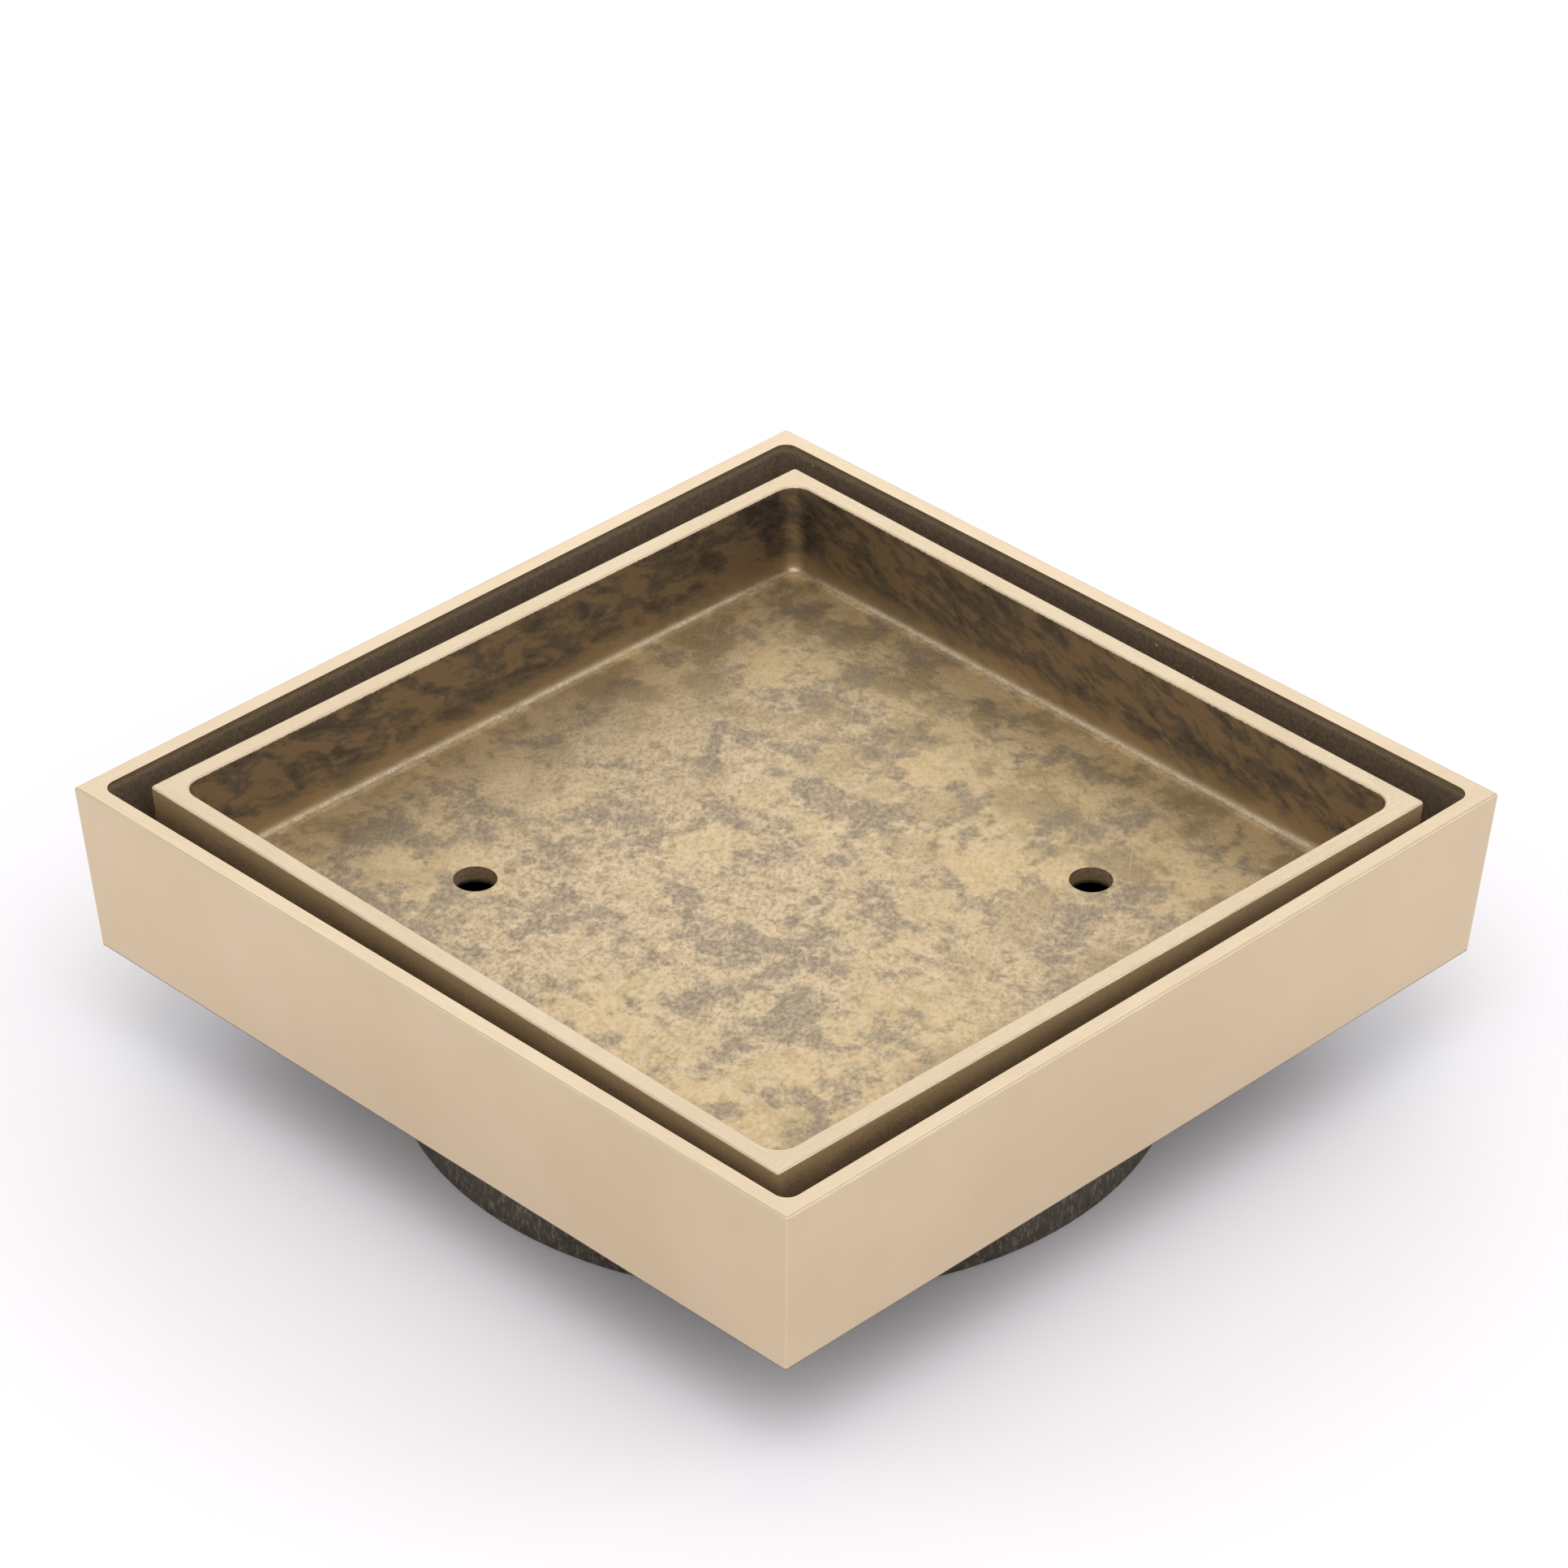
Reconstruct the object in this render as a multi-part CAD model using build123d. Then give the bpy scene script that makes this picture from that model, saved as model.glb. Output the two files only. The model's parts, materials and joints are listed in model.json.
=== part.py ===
"""Square floor drain: a cast brass body with a round outlet spigot, a loose tray that takes a
cut tile, a perforated hair strainer and a drop-in trap core with a sprung valve.

Millimetres, +Z up. The origin is the centre of the spigot's bottom rim, and X and Y run
along the sides of the square frame. Each piece is one file in parts/, named after its node.
"""

import os

from build123d import *

# ---------------------------------------------------------------- driving dimensions

# Cast body: square frame, sloping floor and spigot in one piece.
FRAME_SIDE = 130.0
FRAME_HEIGHT = 24.5
FRAME_DRAFT = 4.2  # degrees, the frame narrows towards its bottom
RIM_WIDTH = 2.5
OUTLET_LENGTH = 17.8
OUTLET_OUTER_R = 51.6
OUTLET_BORE_R = 48.4

# Loose tray for the tile.
TRAY_SIDE = 116.2
TRAY_WALL = 2.75
TRAY_DEPTH = 13.3
TRAY_FLOOR = 2.4
TRAY_DRAFT = 3.0
TRAY_TURN = -0.8  # degrees, the tray lies a little turned in its loose fit
TRAY_SHIFT_X = 0.65  # and a little off centre
TRAY_SHIFT_Y = -0.55
LIFT_HOLE_R = 2.9
LIFT_HOLE_SPACING = 80.0
LIFT_HOLE_TURN = 46.1  # degrees, the line through both holes is drilled just off the diagonal
LIFT_HOLE_SHIFT = -0.4  # along that line

# Trap core.
LEDGE_BELOW_TOP = 24.0
SEAT_Z = 6.8  # underside of the valve seat

# ---------------------------------------------------------------- derived heights

TOP_Z = OUTLET_LENGTH + FRAME_HEIGHT
SKIRT_Z = OUTLET_LENGTH
LEDGE_Z = TOP_Z - LEDGE_BELOW_TOP
TRAY_FLOOR_Z = TOP_Z - TRAY_DEPTH
TRAY_UNDER_Z = TRAY_FLOOR_Z - TRAY_FLOOR

# ---------------------------------------------------------------- details of the body

FLOOR_DRAIN_Z = 21.3  # floor where it meets the recess for the trap core
FLOOR_SLOPE = 0.045
WELL_DRAFT = 2.0  # degrees, inside the frame
WELL_CORNER_R = 2.0
OUTER_CORNER_R = 0.3
RIM_EDGE_R = 0.35
RECESS_R = 50.6  # recess that takes the trap core's flange
COLLAR_R = 55.0  # thick ring round the recess
POCKET_DEPTH = 1.3  # hollow under the floor, between the skirt and the collar
POCKET_SIDE = 120.0
POCKET_CORNER_R = 3.0
UNDER_RIB_WIDTH = 3.0
UNDER_RIB_COUNT = 12
SPIGOT_LEAD_IN = 0.3
REST_CENTRE = 46.0  # the tray rests at these distances along X and Y
REST_R = 6.5
REST_Z = 23.0
REST_GAP = 0.12  # left free under the tray's pads

# ---------------------------------------------------------------- details of the tray

TRAY_WELL_CORNER_R = 3.0
TRAY_FLOOR_FILLET = 1.6
TRAY_EDGE_R = 0.3
TRAY_CORNER_R = 0.5
FOOT_R = 5.6
PAD_R = 4.4
PAD_THICKNESS = 1.6
PAD_SUNK = 0.6
PAD_GAP = 0.1

# ---------------------------------------------------------------- details of the trap core

GASKET_THICKNESS = 0.6
FLANGE_R = 50.2
FLANGE_THICKNESS = 1.4
TUBE_OUTER_R = 47.6
TUBE_INNER_R = 45.2
SEAT_INNER_R = 41.6
SEAT_THICKNESS = 1.6
SEAL_GROOVE_R = 46.3
SEAL_GROOVE_Z = 12.4
SEAL_HEIGHT = 3.6
SEAL_FIN_R = 48.15
SEAL_FIN_THICKNESS = 0.7
ARM_COUNT = 4
ARM_WIDTH = 2.4
ARM_Z = 7.4
ARM_HEIGHT = 2.2
BOSS_R = 5.0
BOSS_BOTTOM_Z = 6.2
BOSS_TOP_Z = 9.6
BUSH_R = 3.0
BUSH_FLANGE_R = 4.6
BUSH_FLANGE = 0.4
STEM_R = 1.5
RUNNING_GAP = 0.06
FIT_GAP = 0.03
PULL_TAB_Z = 15.0
PULL_TAB = (9.0, 6.0, 1.6)  # along the wall, towards the centre, thickness

# ---------------------------------------------------------------- details of the valve

PLATE_R = 44.4
PLATE_THICKNESS = 1.4
PLATE_POCKET = 0.5
PLATE_HUB_R = 8.0
PLATE_RIM_R = 39.5
PLATE_RIB_WIDTH = 2.0
PLATE_RIB_COUNT = 8
VALVE_GASKET_THICKNESS = 1.0
VALVE_GASKET_INNER_R = 40.8
VALVE_GASKET_OUTER_R = 45.6
STEM_HEAD_R = 3.6
STEM_HEAD_THICKNESS = 0.8
CAP_R = 4.6
CAP_THICKNESS = 1.2
CAP_Z = 17.2
WIRE_R = 0.25
SPRING_R = 3.3
SPRING_TURNS = 5.0
SPRING_END_GAP = 0.02

# ---------------------------------------------------------------- details of the strainer

STRAINER_R = 49.9
STRAINER_THICKNESS = 0.8
STRAINER_HOLE_R = 1.8
STRAINER_RINGS = 6
STRAINER_FIRST_RING_R = 9.6
STRAINER_RING_STEP = 6.4
STRAINER_FIRST_RING_COUNT = 8
STRAINER_COUNT_STEP = 6
KNOB_R = 5.5
KNOB_HEIGHT = 3.7
KNOB_NECK_R = 3.2
KNOB_NECK_HEIGHT = 1.5
KNOB_SHANK_R = 1.5
NUT_R = 3.4
NUT_THICKNESS = 1.3


def square_prism(side, top_z, bottom_z, draft, corner_r=None):
    """A square prism that narrows downwards by draft degrees, with sharp or rounded corners."""
    outline = RectangleRounded(side, side, corner_r) if corner_r else Rectangle(side, side)
    return extrude(Pos(0, 0, top_z) * outline, amount=bottom_z - top_z, taper=draft)


def round_upright_edges(block, top_z, bottom_z, radius):
    """The block with its four upright corner edges rounded."""
    middle_z = (top_z + bottom_z) / 2
    upright = block.edges().filter_by(lambda edge: abs(edge.center().Z - middle_z) < 1)
    return fillet(upright, radius)


def round_top_edges(block, radius):
    """The block with every edge of its top face rounded."""
    return fillet(block.faces().sort_by(Axis.Z)[-1].edges(), radius)


def ring(outer_r, inner_r, bottom_z, top_z):
    """A flat-ended round ring about the Z axis."""
    return disc(outer_r, bottom_z, top_z) - disc(inner_r, bottom_z, top_z)


def disc(radius, bottom_z, top_z, x=0.0, y=0.0):
    """A round disc or rod standing at x, y."""
    standing = (Align.CENTER, Align.CENTER, Align.MIN)
    return Pos(x, y, bottom_z) * Cylinder(radius, top_z - bottom_z, align=standing)


def slab(size_x, size_y, bottom_z, top_z, x=0.0, y=0.0):
    """A box whose bottom lies at bottom_z."""
    standing = (Align.CENTER, Align.CENTER, Align.MIN)
    return Pos(x, y, bottom_z) * Box(size_x, size_y, top_z - bottom_z, align=standing)


def turned(points):
    """A solid of revolution about the Z axis from (radius, z) points."""
    profile = make_face(Polyline(*[(r, 0, z) for r, z in points], close=True))
    return revolve(profile, Axis.Z, 360)


def corner_places(distance):
    """The four corner positions at that distance along X and Y, with their names."""
    return {
        "front_left": (-distance, -distance),
        "front_right": (distance, -distance),
        "back_right": (distance, distance),
        "back_left": (-distance, distance),
    }


# ---------------------------------------------------------------- cast body


def floor_funnel():
    """The space above the floor, which falls as a shallow cone towards the outlet."""
    far_r = FRAME_SIDE
    far_z = FLOOR_DRAIN_Z + (far_r - RECESS_R) * FLOOR_SLOPE
    return turned(
        [
            (0, FLOOR_DRAIN_Z),
            (RECESS_R, FLOOR_DRAIN_Z),
            (far_r, far_z),
            (far_r, TOP_Z + 1),
            (0, TOP_Z + 1),
        ]
    )


def underside_pocket():
    """The hollow between the frame's skirt and the collar, crossed by radial ribs."""
    pocket = square_prism(POCKET_SIDE, SKIRT_Z + POCKET_DEPTH, SKIRT_Z - 1, 0, POCKET_CORNER_R)
    pocket -= disc(COLLAR_R, SKIRT_Z - 2, SKIRT_Z + POCKET_DEPTH + 1)
    step = 360 / UNDER_RIB_COUNT
    for i in range(UNDER_RIB_COUNT):
        rib = slab(FRAME_SIDE, UNDER_RIB_WIDTH, SKIRT_Z - 2, SKIRT_Z + POCKET_DEPTH + 1, x=FRAME_SIDE / 2)
        pocket -= Rot(0, 0, i * step) * rib
    return pocket


def drain_body():
    """Frame, floor and spigot as one casting."""
    block = square_prism(FRAME_SIDE, TOP_Z, SKIRT_Z, FRAME_DRAFT)
    block = round_upright_edges(block, TOP_Z, SKIRT_Z, OUTER_CORNER_R)
    block = round_top_edges(block, RIM_EDGE_R)
    well = square_prism(FRAME_SIDE - 2 * RIM_WIDTH, TOP_Z, LEDGE_Z, WELL_DRAFT, WELL_CORNER_R)
    body = block - (well & floor_funnel())
    for x, y in corner_places(REST_CENTRE).values():
        body += disc(REST_R, SKIRT_Z + POCKET_DEPTH, REST_Z - REST_GAP, x, y)
    body -= underside_pocket()
    body += disc(OUTLET_OUTER_R, 0, SKIRT_Z + 1)
    body -= disc(OUTLET_BORE_R, -1, TOP_Z)
    body -= disc(RECESS_R, LEDGE_Z, TOP_Z)
    spigot_rim = body.edges().filter_by(GeomType.CIRCLE).group_by(Axis.Z)[0]
    outer_rim = max(spigot_rim, key=lambda edge: edge.radius)
    return chamfer(outer_rim, SPIGOT_LEAD_IN)


# ---------------------------------------------------------------- tray


def tray_place():
    """Where the loose tray lies in the frame."""
    return Pos(TRAY_SHIFT_X, TRAY_SHIFT_Y, 0) * Rot(0, 0, TRAY_TURN)


def tile_tray():
    """The open tray: drafted walls, a filleted floor, two lift holes and four cast feet."""
    block = square_prism(TRAY_SIDE, TOP_Z, TRAY_UNDER_Z, TRAY_DRAFT)
    block = round_upright_edges(block, TOP_Z, TRAY_UNDER_Z, TRAY_CORNER_R)
    well = square_prism(TRAY_SIDE - 2 * TRAY_WALL, TOP_Z, TRAY_FLOOR_Z, TRAY_DRAFT, TRAY_WELL_CORNER_R)
    well = fillet(well.faces().sort_by(Axis.Z)[0].edges(), TRAY_FLOOR_FILLET)
    tray = round_top_edges(block - well, TRAY_EDGE_R)
    foot_z = REST_Z + PAD_THICKNESS - PAD_SUNK
    for x, y in corner_places(REST_CENTRE).values():
        tray += disc(FOOT_R, foot_z, TRAY_UNDER_Z + 1, x, y)
        tray -= disc(PAD_R + PAD_GAP, foot_z - 1, foot_z + PAD_SUNK, x, y)
    for side in (-1, 1):
        along = LIFT_HOLE_SHIFT + side * LIFT_HOLE_SPACING / 2
        tray -= Rot(0, 0, LIFT_HOLE_TURN) * disc(LIFT_HOLE_R, TRAY_UNDER_Z - 1, TRAY_FLOOR_Z + 1, along)
    return tray_place() * tray


def foot_pad(x, y):
    """A rubber pad set in one foot, which keeps the tray from rattling."""
    pad = disc(PAD_R, REST_Z, REST_Z + PAD_THICKNESS, x, y)
    pad = chamfer(pad.faces().sort_by(Axis.Z)[0].edges(), 0.3)
    return tray_place() * pad


# ---------------------------------------------------------------- trap core

FLANGE_Z = LEDGE_Z + GASKET_THICKNESS
FLANGE_TOP_Z = FLANGE_Z + FLANGE_THICKNESS


def trap_housing():
    """Flanged tube with a valve seat, a four-armed spider, two pull tabs and a seal groove."""
    shell = turned(
        [
            (TUBE_INNER_R, FLANGE_TOP_Z),
            (FLANGE_R, FLANGE_TOP_Z),
            (FLANGE_R, FLANGE_Z),
            (TUBE_OUTER_R, FLANGE_Z),
            (TUBE_OUTER_R, SEAL_GROOVE_Z + SEAL_HEIGHT / 2),
            (SEAL_GROOVE_R, SEAL_GROOVE_Z + SEAL_HEIGHT / 2),
            (SEAL_GROOVE_R, SEAL_GROOVE_Z - SEAL_HEIGHT / 2),
            (TUBE_OUTER_R, SEAL_GROOVE_Z - SEAL_HEIGHT / 2),
            (TUBE_OUTER_R, SEAT_Z),
            (SEAT_INNER_R, SEAT_Z),
            (SEAT_INNER_R, SEAT_Z + SEAT_THICKNESS),
            (TUBE_INNER_R, SEAT_Z + SEAT_THICKNESS + 1.5),
        ]
    )
    housing = shell + disc(BOSS_R, BOSS_BOTTOM_Z, BOSS_TOP_Z)
    for i in range(ARM_COUNT):
        arm = slab(SEAT_INNER_R, ARM_WIDTH, ARM_Z, ARM_Z + ARM_HEIGHT, x=SEAT_INNER_R / 2 + 1)
        housing += Rot(0, 0, 45 + i * 360 / ARM_COUNT) * arm
    along, inward, thickness = PULL_TAB
    for turn in (0, 180):
        tab = slab(inward + 1, along, PULL_TAB_Z, PULL_TAB_Z + thickness, x=TUBE_INNER_R - inward / 2 + 0.5)
        tab = fillet(tab.edges().filter_by(Axis.Z).sort_by(Axis.X)[:2], 2.5)
        housing += Rot(0, 0, turn) * tab
    return housing - disc(BUSH_R, BOSS_BOTTOM_Z - 1, BOSS_TOP_Z + 1)


def stem_bush():
    """Flanged bush pressed into the spider's boss, where the valve stem slides."""
    bush = disc(BUSH_R - FIT_GAP, BOSS_BOTTOM_Z, BOSS_TOP_Z + BUSH_FLANGE)
    bush += disc(BUSH_FLANGE_R, BOSS_TOP_Z, BOSS_TOP_Z + BUSH_FLANGE)
    return bush - disc(STEM_R + RUNNING_GAP, BOSS_BOTTOM_Z - 1, BOSS_TOP_Z + 1)


def flange_gasket():
    """Flat rubber ring between the body's ledge and the housing's flange."""
    return ring(FLANGE_R, OUTLET_BORE_R + 0.2, LEDGE_Z, FLANGE_Z)


def tube_seal():
    """Rubber ring with two fins, seated in the housing's groove."""
    half = SEAL_HEIGHT / 2
    low, high = SEAL_GROOVE_Z - half, SEAL_GROOVE_Z + half
    root_r = TUBE_OUTER_R - 0.3
    points = [(SEAL_GROOVE_R, low), (root_r, low)]
    for fin_z in (low + 0.7, high - 0.7 - SEAL_FIN_THICKNESS):
        points += [(root_r, fin_z), (SEAL_FIN_R, fin_z + 0.3), (SEAL_FIN_R, fin_z + SEAL_FIN_THICKNESS)]
        points += [(root_r, fin_z + SEAL_FIN_THICKNESS)]
    points += [(root_r, high), (SEAL_GROOVE_R, high)]
    return turned(points)


# ---------------------------------------------------------------- valve

PLATE_TOP_Z = SEAT_Z - VALVE_GASKET_THICKNESS
PLATE_Z = PLATE_TOP_Z - PLATE_THICKNESS


def valve_plate():
    """Round closing plate, pocketed underneath between radial ribs."""
    plate = disc(PLATE_R, PLATE_Z, PLATE_TOP_Z)
    pocket = ring(PLATE_RIM_R, PLATE_HUB_R, PLATE_Z - 1, PLATE_Z + PLATE_POCKET)
    for i in range(PLATE_RIB_COUNT):
        rib = slab(PLATE_R, PLATE_RIB_WIDTH, PLATE_Z - 2, PLATE_TOP_Z, x=PLATE_R / 2)
        pocket -= Rot(0, 0, i * 360 / PLATE_RIB_COUNT) * rib
    plate -= pocket
    plate -= disc(STEM_R + FIT_GAP, PLATE_Z - 1, PLATE_TOP_Z + 1)
    return plate - disc(STEM_HEAD_R + FIT_GAP, PLATE_Z - 1, PLATE_Z + STEM_HEAD_THICKNESS)


def valve_gasket():
    """Silicone ring over the plate's edge, which closes against the seat."""
    lip_r = PLATE_R + FIT_GAP
    return turned(
        [
            (VALVE_GASKET_INNER_R, PLATE_TOP_Z),
            (VALVE_GASKET_INNER_R, SEAT_Z),
            (VALVE_GASKET_OUTER_R, SEAT_Z),
            (VALVE_GASKET_OUTER_R, PLATE_Z + 0.2),
            (lip_r, PLATE_Z + 0.2),
            (lip_r, PLATE_TOP_Z),
        ]
    )


def valve_stem():
    """Headed steel pin that hangs the plate from the cap."""
    head = disc(STEM_HEAD_R, PLATE_Z, PLATE_Z + STEM_HEAD_THICKNESS)
    return head + disc(STEM_R, PLATE_Z, CAP_Z + CAP_THICKNESS)


def stem_cap():
    """Cap on top of the stem, which the spring lifts."""
    cap = disc(CAP_R, CAP_Z, CAP_Z + CAP_THICKNESS)
    cap = fillet(cap.faces().sort_by(Axis.Z)[-1].edges(), 0.5)
    return cap - disc(STEM_R + FIT_GAP, CAP_Z - 1, CAP_Z + CAP_THICKNESS + 1)


def valve_spring():
    """Compression spring between the bush's flange and the cap."""
    start_z = BOSS_TOP_Z + BUSH_FLANGE + WIRE_R + SPRING_END_GAP
    height = CAP_Z - WIRE_R - SPRING_END_GAP - start_z
    path = Pos(0, 0, start_z) * Helix(pitch=height / SPRING_TURNS, height=height, radius=SPRING_R)
    section = Plane(origin=path @ 0, z_dir=path % 0) * Circle(WIRE_R)
    return sweep(section, path=path, is_frenet=True)


# ---------------------------------------------------------------- strainer

STRAINER_TOP_Z = FLANGE_TOP_Z + STRAINER_THICKNESS


def strainer():
    """Perforated round plate that lies on the housing's flange."""
    plate = disc(STRAINER_R, FLANGE_TOP_Z, STRAINER_TOP_Z)
    punch = disc(STRAINER_HOLE_R, FLANGE_TOP_Z - 1, STRAINER_TOP_Z + 1)
    holes = []
    for i in range(STRAINER_RINGS):
        radius = STRAINER_FIRST_RING_R + i * STRAINER_RING_STEP
        count = STRAINER_FIRST_RING_COUNT + i * STRAINER_COUNT_STEP
        holes += [place * punch for place in PolarLocations(radius, count)]
    return plate - holes - disc(KNOB_SHANK_R + FIT_GAP, FLANGE_TOP_Z - 1, STRAINER_TOP_Z + 1)


def strainer_knob():
    """Turned pull knob with its shank."""
    top_z = STRAINER_TOP_Z + KNOB_HEIGHT
    head = disc(KNOB_R, STRAINER_TOP_Z + KNOB_NECK_HEIGHT, top_z)
    head = fillet(head.edges(), 0.7)
    knob = head + disc(KNOB_NECK_R, STRAINER_TOP_Z, top_z - 1)
    return knob + disc(KNOB_SHANK_R, FLANGE_TOP_Z - NUT_THICKNESS, STRAINER_TOP_Z + 1)


def knob_nut():
    """Hexagon nut under the strainer, which holds the knob."""
    flats = Pos(0, 0, FLANGE_TOP_Z - NUT_THICKNESS) * RegularPolygon(NUT_R, 6)
    nut = extrude(flats, amount=NUT_THICKNESS)
    return nut - disc(KNOB_SHANK_R + FIT_GAP, LEDGE_Z - 5, FLANGE_TOP_Z + 1)


# ---------------------------------------------------------------- the whole drain


def all_parts():
    """Every node of the drain by name."""
    parts = {"drain_body": drain_body(), "tile_tray": tile_tray()}
    for place, (x, y) in corner_places(REST_CENTRE).items():
        parts[f"foot_pad_{place}"] = foot_pad(x, y)
    for make in (
        strainer,
        strainer_knob,
        knob_nut,
        trap_housing,
        stem_bush,
        flange_gasket,
        tube_seal,
        valve_plate,
        valve_gasket,
        valve_stem,
        stem_cap,
        valve_spring,
    ):
        parts[make.__name__] = make()
    return parts


def main():
    os.makedirs("parts", exist_ok=True)
    for name, shape in all_parts().items():
        shape.label = name
        export_step(shape, f"parts/{name}.step")
        print(name, round(shape.volume, 1), "mm3", "valid" if shape.is_valid else "INVALID")


main()
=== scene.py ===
"""Square floor drain on a white studio floor: finishes, a wound spring, light and camera.

Metres, in the CAD model's own frame: X and Y along the sides of the drain, +Z up.
Inside the materials, places are in millimetres of the same frame.
"""

import json
import math

import bpy
from mathutils import Matrix, Vector


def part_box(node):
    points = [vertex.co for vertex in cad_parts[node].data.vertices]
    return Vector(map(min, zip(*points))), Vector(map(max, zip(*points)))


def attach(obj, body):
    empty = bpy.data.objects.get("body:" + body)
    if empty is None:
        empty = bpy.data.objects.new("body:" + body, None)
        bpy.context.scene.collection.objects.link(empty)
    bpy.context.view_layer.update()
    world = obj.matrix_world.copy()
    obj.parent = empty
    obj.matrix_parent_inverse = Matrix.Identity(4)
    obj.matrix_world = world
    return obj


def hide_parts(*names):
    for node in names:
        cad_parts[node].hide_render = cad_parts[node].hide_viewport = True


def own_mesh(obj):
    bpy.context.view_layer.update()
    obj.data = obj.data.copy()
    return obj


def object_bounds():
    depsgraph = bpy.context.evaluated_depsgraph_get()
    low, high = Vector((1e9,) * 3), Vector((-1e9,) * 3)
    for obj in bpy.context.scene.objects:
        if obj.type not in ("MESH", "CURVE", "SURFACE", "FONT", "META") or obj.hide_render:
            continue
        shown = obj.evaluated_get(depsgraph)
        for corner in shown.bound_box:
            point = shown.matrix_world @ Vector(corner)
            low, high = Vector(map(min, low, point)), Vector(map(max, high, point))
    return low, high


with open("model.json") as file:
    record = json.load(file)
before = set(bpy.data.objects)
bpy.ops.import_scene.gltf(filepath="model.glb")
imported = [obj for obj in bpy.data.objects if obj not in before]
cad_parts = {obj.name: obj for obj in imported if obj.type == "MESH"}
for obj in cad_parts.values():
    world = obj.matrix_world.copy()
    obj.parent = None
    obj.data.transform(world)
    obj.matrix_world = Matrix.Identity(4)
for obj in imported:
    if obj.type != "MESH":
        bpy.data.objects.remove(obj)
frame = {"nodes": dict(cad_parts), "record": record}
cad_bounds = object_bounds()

MM = 0.001

# ---------------------------------------------------------------- places read from the frame


def box_middle(node):
    low, high = (Vector(corner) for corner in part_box(node))
    return (low + high) / 2


LOW, HIGH = (Vector(corner) for corner in cad_bounds)
CENTRE = (LOW + HIGH) / 2
RIM_Z = HIGH.z / MM
TRAY_CENTRE = box_middle("tile_tray") / MM
FRAME_HALF = (HIGH.x - LOW.x) / 2 / MM
MOUNTS = {mount["name"]: Vector(mount["pos_m"]) for mount in frame["record"]["mounts"]}
SKIRT_Z = MOUNTS["bedding_face"].z / MM
TRAY_FLOOR_Z = MOUNTS["tile_bed"].z / MM
FOOT_LINE = box_middle("foot_pad_back_right") - box_middle("foot_pad_front_left")
TRAY_TURN = math.atan2(FOOT_LINE.y, FOOT_LINE.x) - math.radians(45)

RIM_WIDTH = 2.5  # flat top of the frame, mm
TRAY_HALF = 58.1  # outside of the tray, mm
CLUMPS_MIDDLE = (-2.0, -18.0, TRAY_FLOOR_Z)  # from the tray's own middle, mm

# ---------------------------------------------------------------- colours, linear RGB

CHAMPAGNE = (0.665, 0.533, 0.364)
CHAMPAGNE_PALE = (0.725, 0.592, 0.420)
ANTIQUE_GOLD = (0.455, 0.340, 0.190)
ANTIQUE_OCHRE = (0.630, 0.465, 0.222)
ANTIQUE_BROWN = (0.345, 0.252, 0.132)
ANTIQUE_PALE = (0.695, 0.540, 0.348)
ANTIQUE_GREY = (0.300, 0.240, 0.175)
WORN_BRASS_AND_HIGHLIGHT = (0.640, 0.540, 0.400)
PATINA_BROWN = (0.250, 0.183, 0.112)
PATINA_GREY = (0.132, 0.109, 0.086)
PATINA_DARK = (0.082, 0.068, 0.057)
WELL_BROWN = (0.235, 0.170, 0.112)
WELL_DARK = (0.150, 0.112, 0.076)
SLOT_GOLD = (0.480, 0.315, 0.152)
SLOT_BROWN_AND_SHADE = (0.235, 0.145, 0.070)
CAST_DARK = (0.090, 0.072, 0.055)
CAST_PALE = (0.300, 0.260, 0.205)
TURNED_BRASS = (0.700, 0.500, 0.240)
TURNED_BRASS_PALE = (0.780, 0.600, 0.340)
STEEL = (0.560, 0.555, 0.540)
STEEL_PALE = (0.680, 0.670, 0.650)
SHEET_PALE = (0.660, 0.655, 0.640)
SHEET_GREY = (0.420, 0.420, 0.410)
GREY_PLASTIC = (0.060, 0.063, 0.067)
BLACK_RUBBER = (0.014, 0.014, 0.014)
RUBBER_DUST = (0.070, 0.068, 0.064)
SILICONE = (0.520, 0.520, 0.490)
SILICONE_DUST = (0.600, 0.600, 0.580)


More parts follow.
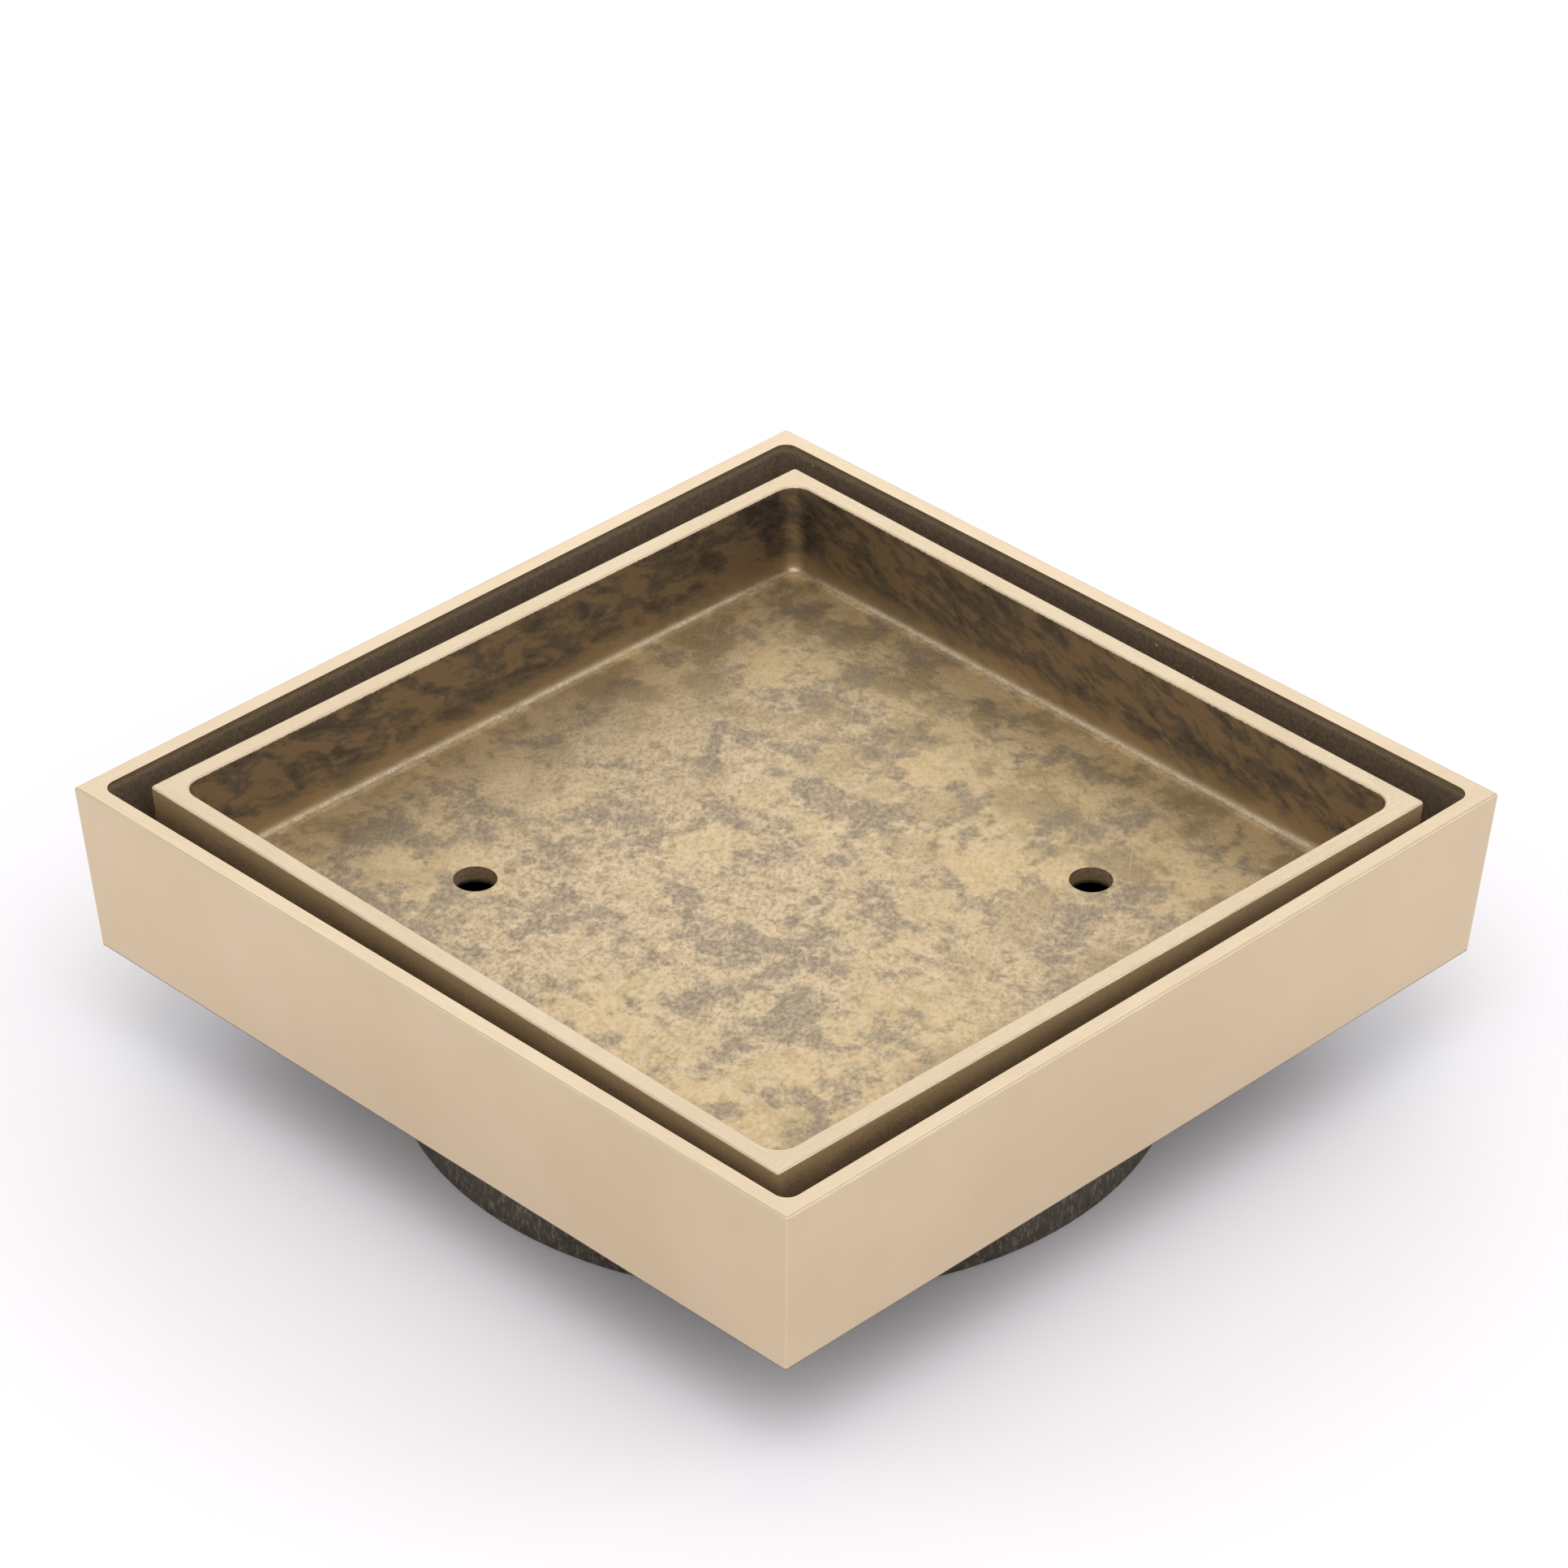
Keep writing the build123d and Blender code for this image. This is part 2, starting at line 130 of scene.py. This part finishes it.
class Shader:
    """A material's node tree, with short calls for the nodes used here."""

    def __init__(self, name):
        self.material = bpy.data.materials.new(name)
        self.material.use_nodes = True
        self.tree = self.material.node_tree
        self.surface = self.tree.nodes["Principled BSDF"]
        coordinates = self.node("TexCoord")
        self.place = self.vector("SCALE", coordinates.outputs["Object"], scale=1 / MM)
        self.normal = coordinates.outputs["Normal"]

    def node(self, kind, inputs=None, **settings):
        made = self.tree.nodes.new("ShaderNode" + kind)
        for key, value in settings.items():
            setattr(made, key, value)
        for key, value in (inputs or {}).items():
            self.put(made.inputs[key], value)
        return made

    def put(self, socket, value):
        """A number or colour goes on the socket, and another node's output is linked to it."""
        if isinstance(value, bpy.types.NodeSocket):
            self.tree.links.new(value, socket)
        elif isinstance(value, tuple) and socket.type == "RGBA":
            socket.default_value = (*value, 1.0)
        else:
            socket.default_value = value

    def vector(self, operation, a, b=None, scale=None):
        made = self.node("VectorMath", operation=operation)
        self.put(made.inputs[0], a)
        if b is not None:
            self.put(made.inputs[1], b)
        if scale is not None:
            self.put(made.inputs["Scale"], scale)
        return made.outputs["Value" if operation in ("LENGTH", "DOT_PRODUCT") else "Vector"]

    def math(self, operation, a, b=0.0):
        made = self.node("Math", operation=operation)
        self.put(made.inputs[0], a)
        self.put(made.inputs[1], b)
        return made.outputs[0]

    def split(self, vector):
        return self.node("SeparateXYZ", {"Vector": vector}).outputs

    def step(self, value, low, high):
        """0 below low, 1 above high, smooth between. With low above high it falls instead."""
        inputs = {"Value": value, "From Min": min(low, high), "From Max": max(low, high)}
        if low > high:
            inputs.update({"To Min": 1.0, "To Max": 0.0})
        return self.node("MapRange", inputs, interpolation_type="SMOOTHSTEP").outputs["Result"]

    def spread(self, value, low, high, to_low, to_high):
        """value's range low to high carried evenly over to_low to to_high."""
        inputs = {"Value": value, "From Min": low, "From Max": high, "To Min": to_low, "To Max": to_high}
        return self.node("MapRange", inputs).outputs["Result"]

    def stretched(self, vector, lengths, turn=(0, 0, 0)):
        """Draws a pattern out by these lengths along axes turned by these degrees."""
        inputs = {"Vector": vector, "Rotation": tuple(math.radians(a) for a in turn), "Scale": lengths}
        return self.node("Mapping", inputs, vector_type="TEXTURE").outputs["Vector"]

    def noise(self, vector, size, detail=3.0, roughness=0.55, distortion=0.0):
        """Noise whose features are about size mm across."""
        inputs = {
            "Vector": vector,
            "Scale": 1.0 / size,
            "Detail": detail,
            "Roughness": roughness,
            "Distortion": distortion,
        }
        return self.node("TexNoise", inputs).outputs["Fac"]

    def mix(self, share, a, b):
        """Colour a where share is 0 and colour b where it is 1."""
        made = self.node("Mix", data_type="RGBA")
        self.put(made.inputs["Factor"], share)
        self.put(made.inputs["A"], a)
        self.put(made.inputs["B"], b)
        return made.outputs["Result"]

    def blend(self, share, a, b):
        """Number a where share is 0 and number b where it is 1."""
        made = self.node("Mix", data_type="FLOAT")
        self.put(made.inputs["Factor"], share)
        self.put(made.inputs["A"], a)
        self.put(made.inputs["B"], b)
        return made.outputs["Result"]

    def square_radius(self, vector):
        """Distance from the Z axis to the square that the point lies on."""
        x, y, _ = self.split(vector)
        return self.math("MAXIMUM", self.math("ABSOLUTE", x), self.math("ABSOLUTE", y))

    def bump(self, *heights):
        """Stacks (height, depth in mm) pairs into one bumped normal."""
        normal = None
        for height, depth in heights:
            inputs = {"Height": height, "Distance": depth * MM, "Strength": 1.0}
            if normal is not None:
                inputs["Normal"] = normal
            normal = self.node("Bump", inputs).outputs["Normal"]
        self.put(self.surface.inputs["Normal"], normal)

    def finish(self, colour, roughness, metallic):
        self.put(self.surface.inputs["Base Color"], colour)
        self.put(self.surface.inputs["Roughness"], roughness)
        self.put(self.surface.inputs["Metallic"], metallic)
        return self.material


# ---------------------------------------------------------------- brass finishes

# Each finish is (colour, roughness, height, metallic).


def brushed(s, place):
    """Champagne brass brushed along each side of the square."""
    x, y, _ = s.split(place)
    along_y = s.step(s.math("SUBTRACT", s.math("ABSOLUTE", x), s.math("ABSOLUTE", y)), -0.05, 0.05)
    grain_x = s.noise(s.stretched(place, (30, 1, 1)), 0.16, 4.0, 0.6)
    grain_y = s.noise(s.stretched(place, (1, 30, 1)), 0.16, 4.0, 0.6)
    grain = s.blend(along_y, grain_x, grain_y)
    cloud = s.noise(place, 24.0, 2.0)
    colour = s.mix(s.math("MULTIPLY", s.step(cloud, 0.35, 0.68), 0.5), CHAMPAGNE, CHAMPAGNE_PALE)
    colour = s.mix(s.spread(grain, 0.3, 0.7, 0.0, 0.16), colour, CHAMPAGNE_PALE)
    return colour, s.spread(grain, 0.3, 0.7, 0.36, 0.46), grain, 1.0


def smeared_wall(s, place):
    """Brown patina with soft slanted smears of grey, and a painted reflection of the gold floor along the
    wall's foot.
    """
    smear_place = s.stretched(place, (2.4, 2.4, 1), (-16, 16, 0))
    smear = s.noise(smear_place, 2.9, 5.0, 0.6, 0.4)
    wisp = s.noise(smear_place, 0.9, 4.0, 0.65)
    grain = s.noise(place, 0.4, 2.0, 0.6)
    shade = s.math("ADD", s.math("MULTIPLY", smear, 0.68), s.math("MULTIPLY", wisp, 0.32))
    # Painted reflection of the gold floor: the lowest 5 mm of the wall is lightened towards antique gold,
    # with fewer grey smears.
    low = s.step(s.split(place)[2], TRAY_FLOOR_Z + 5.0, TRAY_FLOOR_Z)
    shade = s.math("ADD", shade, s.math("MULTIPLY", low, 0.05))
    colour = s.mix(s.step(shade, 0.56, 0.465), PATINA_BROWN, PATINA_GREY)
    colour = s.mix(s.step(shade, 0.458, 0.405), colour, PATINA_DARK)
    colour = s.mix(s.math("MULTIPLY", low, 0.6), colour, ANTIQUE_GOLD)
    colour = s.mix(s.spread(grain, 0.3, 0.7, 0.0, 0.2), colour, ANTIQUE_GREY)
    return colour, s.spread(wisp, 0.3, 0.7, 0.4, 0.52), grain, 0.85


def dark_well(s, place):
    """An even brown patina with a cast grain and a few bare specks."""
    grain = s.noise(place, 0.45, 3.0, 0.65)
    cloud = s.noise(place, 7.0, 3.0)
    colour = s.mix(s.step(grain, 0.36, 0.64), WELL_DARK, WELL_BROWN)
    colour = s.mix(s.math("MULTIPLY", s.step(cloud, 0.45, 0.7), 0.3), colour, WELL_DARK)
    speck = s.step(s.noise(place, 0.9, 1.0), 0.78, 0.8)
    colour = s.mix(speck, colour, CHAMPAGNE)
    return colour, s.spread(grain, 0.3, 0.7, 0.5, 0.62), grain, 0.3


def slot_wall(s, place):
    """Gold patina that turns brown downwards, in the slot round the tray and in its holes; the darkening
    down into the slot is partly painted shade.
    """
    grain = s.noise(place, 0.5, 3.0, 0.65)
    cloud = s.noise(s.stretched(place, (3, 3, 1)), 5.0, 4.0)
    depth = s.math("ADD", s.split(place)[2], s.spread(cloud, 0.3, 0.7, -1.2, 1.2))
    # Painted shade, partly a patina: the slot wall is gold near the rim and brown from about 5 mm down.
    colour = s.mix(s.step(depth, RIM_Z - 5.0, RIM_Z - 0.4), SLOT_BROWN_AND_SHADE, SLOT_GOLD)
    colour = s.mix(s.spread(grain, 0.3, 0.7, 0.0, 0.3), colour, ANTIQUE_PALE)
    return colour, s.spread(grain, 0.3, 0.7, 0.5, 0.62), grain, 0.3


def aged_floor(s, place):
    """Antique gold in crinkled relief, with clumps of grey, a brown haze far out and scratches."""
    grain = s.noise(s.stretched(place, (1, 1.4, 1), (0, 0, 38)), 0.6, 4.0, 0.7)
    mottle = s.noise(place, 2.6, 6.0, 0.7)
    patch = s.noise(place, 8.0, 3.0, 0.55, 0.3)
    tint = s.noise(place, 38.0, 2.0)
    far = s.vector("LENGTH", s.vector("SUBTRACT", place, CLUMPS_MIDDLE))
    shade = s.math("ADD", s.math("MULTIPLY", patch, 0.55), s.math("MULTIPLY", mottle, 0.45))
    shade = s.math("ADD", shade, s.spread(far, 25.0, 60.0, -0.012, 0.02))
    ochre = s.math("ADD", tint, s.spread(far, 25.0, 60.0, -0.03, 0.1))
    gold = s.mix(s.step(ochre, 0.42, 0.6), ANTIQUE_GOLD, ANTIQUE_OCHRE)
    pale = s.math("MULTIPLY", s.step(grain, 0.28, 0.58), s.spread(far, 30.0, 65.0, 1.0, 0.75))
    worn = s.mix(pale, gold, ANTIQUE_PALE)
    worn = s.mix(s.spread(mottle, 0.35, 0.6, 0.5, 0.0), worn, gold)
    haze = s.noise(place, 10.0, 6.0, 0.68)
    veil = s.math("MULTIPLY", s.step(haze, 0.54, 0.4), s.spread(far, 20.0, 65.0, 0.0, 0.75))
    worn = s.mix(veil, worn, ANTIQUE_BROWN)
    clump = s.math("MULTIPLY", s.step(shade, 0.53, 0.42), s.spread(grain, 0.3, 0.65, 1.0, 0.45))
    worn = s.mix(clump, worn, ANTIQUE_GREY)
    lines = s.noise(s.stretched(place, (70, 1, 1), (0, 0, 128)), 0.34, 2.0, 0.6)
    scratch = s.math("MULTIPLY", s.step(lines, 0.63, 0.7), s.step(tint, 0.58, 0.46))
    colour = s.mix(s.math("MULTIPLY", scratch, 0.4), worn, WORN_BRASS_AND_HIGHLIGHT)
    height = s.math("ADD", s.math("MULTIPLY", mottle, 2.0), s.math("MULTIPLY", grain, 2.1))
    height = s.math("ADD", height, s.math("MULTIPLY", scratch, -0.3))
    return colour, s.spread(grain, 0.35, 0.65, 0.6, 0.4), height, 0.8


def fillet_wear_and_highlight(s, place):
    """The floor fillet made pale: partly rubbed wear, partly a painted highlight."""
    grain = s.noise(place, 0.35, 3.0, 0.65)
    colour = s.mix(s.step(grain, 0.35, 0.6), ANTIQUE_GOLD, WORN_BRASS_AND_HIGHLIGHT)
    return colour, s.spread(grain, 0.3, 0.7, 0.58, 0.48), grain, 0.9


def rough_cast(s, place):
    """The dark sand-cast skin with upright pale flecks."""
    coarse = s.noise(place, 1.3, 4.0, 0.7)
    fleck = s.step(s.noise(s.stretched(place, (1, 1, 2.4)), 0.55, 3.0, 0.65), 0.5, 0.64)
    colour = s.mix(s.step(coarse, 0.35, 0.65), CAST_DARK, PATINA_GREY)
    colour = s.mix(s.math("MULTIPLY", fleck, 0.6), colour, CAST_PALE)
    return colour, s.spread(coarse, 0.3, 0.7, 0.46, 0.62), coarse, 0.8


def layered(s, lowest, *layers):
    """Lays each (share, finish) over the lowest finish, one after another."""
    colour, roughness, height, metallic = lowest
    for share, (over_colour, over_roughness, over_height, over_metallic) in layers:
        colour = s.mix(share, colour, over_colour)
        roughness = s.blend(share, roughness, over_roughness)
        height = s.blend(share, height, over_height)
        metallic = s.blend(share, metallic, over_metallic)
    return colour, roughness, height, metallic


def body_brass():
    """Cast body: brushed rim and sides, dark well, rough-cast underside and spigot."""
    s = Shader("cast_body_brass")
    z = s.split(s.place)[2]
    wobble = s.noise(s.place, 0.4, 3.0, 0.7)
    inside_half = FRAME_HALF - RIM_WIDTH
    outside = s.step(s.square_radius(s.place), inside_half + 0.05, inside_half + 0.25)
    worn_z = s.math("ADD", z, s.spread(wobble, 0.3, 0.7, -0.4, 0.4))
    rim = s.step(worn_z, RIM_Z - 1.6, RIM_Z - 0.2)
    machined = s.math("MAXIMUM", outside, rim)
    machined = s.math("MULTIPLY", machined, s.step(z, SKIRT_Z + 0.02, SKIRT_Z + 0.2))
    under = s.step(z, SKIRT_Z + 1.6, SKIRT_Z + 1.2)
    well = dark_well(s, s.place)
    skin = rough_cast(s, s.place)
    colour, roughness, height, metallic = layered(s, well, (under, skin), (machined, brushed(s, s.place)))
    s.bump((height, 0.02))
    return s.finish(colour, roughness, metallic)


def tray_brass():
    """Tray: brushed rim, gold sides that darken downwards with partly painted shade, smeared walls, and
    an aged floor with a fillet round it that is partly worn and partly a painted highlight.
    """
    s = Shader("tray_brass")
    local = s.vector("SUBTRACT", s.place, (TRAY_CENTRE.x, TRAY_CENTRE.y, 0.0))
    local = s.stretched(local, (1, 1, 1), (0, 0, math.degrees(TRAY_TURN)))
    z = s.split(local)[2]
    up = s.split(s.normal)[2]
    wobble = s.noise(local, 0.5, 3.0)
    fillet_breakup = s.noise(local, 1.6, 4.0, 0.65)
    outside = s.step(s.square_radius(local), TRAY_HALF - 2.0, TRAY_HALF - 1.6)
    below = s.step(z, TRAY_FLOOR_Z - 1.8, TRAY_FLOOR_Z - 2.2)
    worn_z = s.math("ADD", z, s.spread(wobble, 0.3, 0.7, -0.12, 0.12))
    rim = s.step(worn_z, RIM_Z - 0.35, RIM_Z - 0.15)
    bored = s.step(z, TRAY_FLOOR_Z - 0.05, TRAY_FLOOR_Z - 0.2)
    level = s.step(s.math("ADD", up, s.spread(wobble, 0.3, 0.7, -0.06, 0.06)), 0.7, 0.97)
    # Painted highlight, partly rubbed wear: the wall-to-floor fillet is made pale brass, broken up by
    # noise.
    fillet = s.math("MULTIPLY", s.step(up, 0.55, 0.7), s.step(up, 0.94, 0.82))
    fillet = s.math("MULTIPLY", fillet, s.spread(fillet_breakup, 0.35, 0.65, 0.1, 0.8))
    layers = [
        (level, aged_floor(s, local)),
        (fillet, fillet_wear_and_highlight(s, local)),
        (s.math("MAXIMUM", outside, bored), slot_wall(s, local)),
        (below, rough_cast(s, local)),
        (rim, brushed(s, local)),
    ]
    colour, roughness, height, metallic = layered(s, smeared_wall(s, local), *layers)
    s.bump((height, 0.05))
    return s.finish(colour, roughness, metallic)


# ---------------------------------------------------------------- finishes of the inner pieces


def turned(name, colour, pale):
    """Turned metal with rings about the Z axis."""
    s = Shader(name)
    x, y, z = s.split(s.place)
    flat = s.node("CombineXYZ", {"X": x, "Y": y}).outputs[0]
    radius = s.vector("LENGTH", flat)
    rings = s.node("CombineXYZ", {"X": radius, "Y": z}).outputs[0]
    groove = s.noise(rings, 0.12, 3.0, 0.6)
    tarnish = s.noise(s.place, 4.0, 4.0)
    tone = s.mix(s.step(tarnish, 0.4, 0.7), colour, pale)
    s.bump((groove, 0.01))
    return s.finish(tone, s.spread(groove, 0.3, 0.7, 0.26, 0.38), 1.0)


def brushed_steel():
    """Sheet steel brushed along X."""
    s = Shader("strainer_steel")
    grain = s.noise(s.stretched(s.place, (30, 1, 1)), 0.14, 4.0, 0.6)
    smear = s.noise(s.place, 14.0, 4.0)
    tone = s.mix(s.step(smear, 0.35, 0.7), STEEL, SHEET_PALE)
    tone = s.mix(s.spread(grain, 0.3, 0.7, 0.0, 0.25), tone, SHEET_GREY)
    s.bump((grain, 0.008))
    return s.finish(tone, s.spread(grain, 0.3, 0.7, 0.26, 0.4), 1.0)


def moulded(name, colour, grain_depth):
    """Matt moulded plastic with a fine grain and faint flow marks."""
    s = Shader(name)
    grain = s.noise(s.place, 0.22, 2.0, 0.6)
    flow = s.noise(s.stretched(s.place, (1, 1, 2.5)), 18.0, 3.0)
    pale = tuple(channel * 1.35 for channel in colour)
    tone = s.mix(s.step(flow, 0.35, 0.7), colour, pale)
    s.bump((grain, grain_depth))
    return s.finish(tone, s.spread(grain, 0.3, 0.7, 0.48, 0.6), 0.0)


def soft_rubber(name, colour, dust, roughness):
    """Matt rubber with a bloom of dust."""
    s = Shader(name)
    grain = s.noise(s.place, 0.3, 3.0, 0.6)
    bloom = s.noise(s.place, 6.0, 5.0, 0.65)
    tone = s.mix(s.math("MULTIPLY", s.step(bloom, 0.45, 0.75), 0.5), colour, dust)
    s.bump((grain, 0.012))
    return s.finish(tone, s.spread(bloom, 0.3, 0.7, roughness, roughness + 0.14), 0.0)


# ---------------------------------------------------------------- the wound spring

WIRE_R = 0.25 * MM
TURNS = 7.0
END_TURNS = 1.0  # closed turns at each end
TURN_STEPS = 36

def wound_spring():
    """The valve's spring with closed ends."""
    low, high = (Vector(corner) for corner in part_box("valve_spring"))
    length = high.z - low.z
    radius = (high.x - low.x) / 2 - WIRE_R
    active = TURNS - 2 * END_TURNS
    height = length - 2 * WIRE_R
    closed = 2 * WIRE_R * 1.05
    points = []
    for i in range(int(TURNS * TURN_STEPS) + 1):
        turn = i / TURN_STEPS
        if turn < END_TURNS:
            rise = closed * turn / END_TURNS
        elif turn > TURNS - END_TURNS:
            rise = height - closed * (TURNS - turn) / END_TURNS
        else:
            rise = closed + (height - 2 * closed) * (turn - END_TURNS) / active
        angle = turn * math.tau
        points.append((radius * math.cos(angle), radius * math.sin(angle), low.z + WIRE_R + rise))
    curve = bpy.data.curves.new("wound_spring", "CURVE")
    curve.dimensions = "3D"
    curve.bevel_depth = WIRE_R
    curve.bevel_resolution = 4
    curve.use_fill_caps = True
    spline = curve.splines.new("POLY")
    spline.points.add(len(points) - 1)
    for point, place in zip(spline.points, points):
        point.co = (*place, 1.0)
    coil = bpy.data.objects.new("wound_spring", curve)
    bpy.context.collection.objects.link(coil)
    depsgraph = bpy.context.evaluated_depsgraph_get()
    mesh = bpy.data.meshes.new_from_object(coil.evaluated_get(depsgraph))
    bpy.data.objects.remove(coil)
    mesh.polygons.foreach_set("use_smooth", [True] * len(mesh.polygons))
    spring = bpy.data.objects.new("wound_spring", mesh)
    bpy.context.collection.objects.link(spring)
    spring.data.materials.append(turned("spring_steel", STEEL, STEEL_PALE))
    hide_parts("valve_spring")
    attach(spring, "trap_core")
    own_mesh(spring)


# ---------------------------------------------------------------- finishes on the CAD nodes


def dress(node, material):
    """Gives every material slot of a CAD node that material."""
    part = frame["nodes"][node]
    if not part.material_slots:
        part.data.materials.append(material)
    for material_slot in part.material_slots:
        material_slot.material = material


def dress_all():
    dress("drain_body", body_brass())
    dress("tile_tray", tray_brass())
    dress("strainer", brushed_steel())
    plastic = moulded("grey_abs", GREY_PLASTIC, 0.01)
    for node in ("trap_housing", "valve_plate", "stem_cap"):
        dress(node, plastic)
    brass = turned("turned_brass", TURNED_BRASS, TURNED_BRASS_PALE)
    for node in ("strainer_knob", "knob_nut", "stem_bush"):
        dress(node, brass)
    dress("valve_stem", turned("stem_steel", STEEL, STEEL_PALE))
    dress("valve_gasket", soft_rubber("silicone", SILICONE, SILICONE_DUST, 0.38))
    rubber = soft_rubber("black_rubber", BLACK_RUBBER, RUBBER_DUST, 0.5)
    dress("flange_gasket", rubber)
    dress("tube_seal", rubber)
    for node in frame["nodes"]:
        if node.startswith("foot_pad"):
            dress(node, rubber)


# ---------------------------------------------------------------- studio

FLOOR_HALF = 3.0
FLOOR_GAP = 0.05 * MM
FLOOR_COLOUR = (0.945, 0.928, 0.965)
FLOOR_FIBRE = (0.900, 0.880, 0.900)
WORLD_STRENGTH = 0.715
SOFTBOX_SIZE = 0.9
SOFTBOX_DISTANCE = 1.5


def studio_floor():
    mesh = bpy.data.meshes.new("studio_floor")
    z = LOW.z - FLOOR_GAP
    corners = [(-1, -1), (1, -1), (1, 1), (-1, 1)]
    mesh.from_pydata([(x * FLOOR_HALF, y * FLOOR_HALF, z) for x, y in corners], [], [(0, 1, 2, 3)])
    floor = bpy.data.objects.new("studio_floor", mesh)
    bpy.context.collection.objects.link(floor)
    s = Shader("studio_paper")
    fibre = s.noise(s.place, 1.2, 3.0)
    tone = s.mix(s.spread(fibre, 0.3, 0.7, 0.0, 0.06), FLOOR_COLOUR, FLOOR_FIBRE)
    mesh.materials.append(s.finish(tone, 0.9, 0.0))
    s.surface.inputs["Specular IOR Level"].default_value = 0.1


def soft_light(name, azimuth, elevation, power, colour):
    """A square softbox that faces the rim's centre, from azimuth degrees clockwise from +Y."""
    light = bpy.data.lights.new(name, "AREA")
    light.shape = "SQUARE"
    light.size = SOFTBOX_SIZE
    light.energy = power
    light.color = colour
    lamp = bpy.data.objects.new(name, light)
    turn = math.radians(azimuth)
    rise = math.radians(elevation)
    away = Vector((math.sin(turn) * math.cos(rise), math.cos(turn) * math.cos(rise), math.sin(rise)))
    target = Vector((CENTRE.x, CENTRE.y, HIGH.z))
    lamp.location = target + away * SOFTBOX_DISTANCE
    lamp.rotation_euler = away.to_track_quat("Z", "Y").to_euler()
    bpy.context.collection.objects.link(lamp)


def studio_light():
    world = bpy.data.worlds.new("studio_world")
    world.use_nodes = True
    background = world.node_tree.nodes["Background"]
    background.inputs["Color"].default_value = (1.0, 1.0, 1.0, 1.0)
    background.inputs["Strength"].default_value = WORLD_STRENGTH
    bpy.context.scene.world = world
    soft_light("softbox_behind", -45, 30, 2.75, (0.92, 0.955, 1.0))
    soft_light("softbox_left", -135, 35, 1.9, (0.98, 0.99, 1.0))
    soft_light("softbox_right", 45, 35, 3.2, (0.98, 0.99, 1.0))
    soft_light("softbox_front", 135, 60, 7.5, (1.0, 0.995, 0.99))
    view = bpy.context.scene.view_settings
    view.view_transform = "Standard"
    view.look = "None"


# ---------------------------------------------------------------- camera

LENS = 159.3
SENSOR = 36.0
VIEW_DISTANCE = 0.8947
VIEW_TURN = 44.778  # degrees from looking along +Y, towards -X
VIEW_ELEVATION = 33.365
VIEW_ROLL = 0.376  # degrees, counterclockwise
AIM_RIGHT = -0.32 * MM
AIM_UP = 0.81 * MM


def studio_camera():
    data = bpy.data.cameras.new("camera")
    data.lens = LENS
    data.sensor_width = SENSOR
    data.clip_start = 0.01
    data.clip_end = 20.0
    turn = math.radians(VIEW_TURN)
    rise = math.radians(VIEW_ELEVATION)
    ahead = Vector((-math.sin(turn) * math.cos(rise), math.cos(turn) * math.cos(rise), -math.sin(rise)))
    right = Vector((math.cos(turn), math.sin(turn), 0.0))
    up = right.cross(ahead)
    target = Vector((CENTRE.x, CENTRE.y, HIGH.z))
    spot = target + right * AIM_RIGHT + up * AIM_UP - ahead * VIEW_DISTANCE
    axes = Matrix((right, up, -ahead)).transposed().to_4x4()
    camera = bpy.data.objects.new("camera", data)
    roll = Matrix.Rotation(math.radians(VIEW_ROLL), 4, "Z")
    camera.matrix_world = Matrix.Translation(spot) @ axes @ roll
    bpy.context.collection.objects.link(camera)
    bpy.context.scene.camera = camera


dress_all()
wound_spring()
studio_floor()
studio_light()
studio_camera()
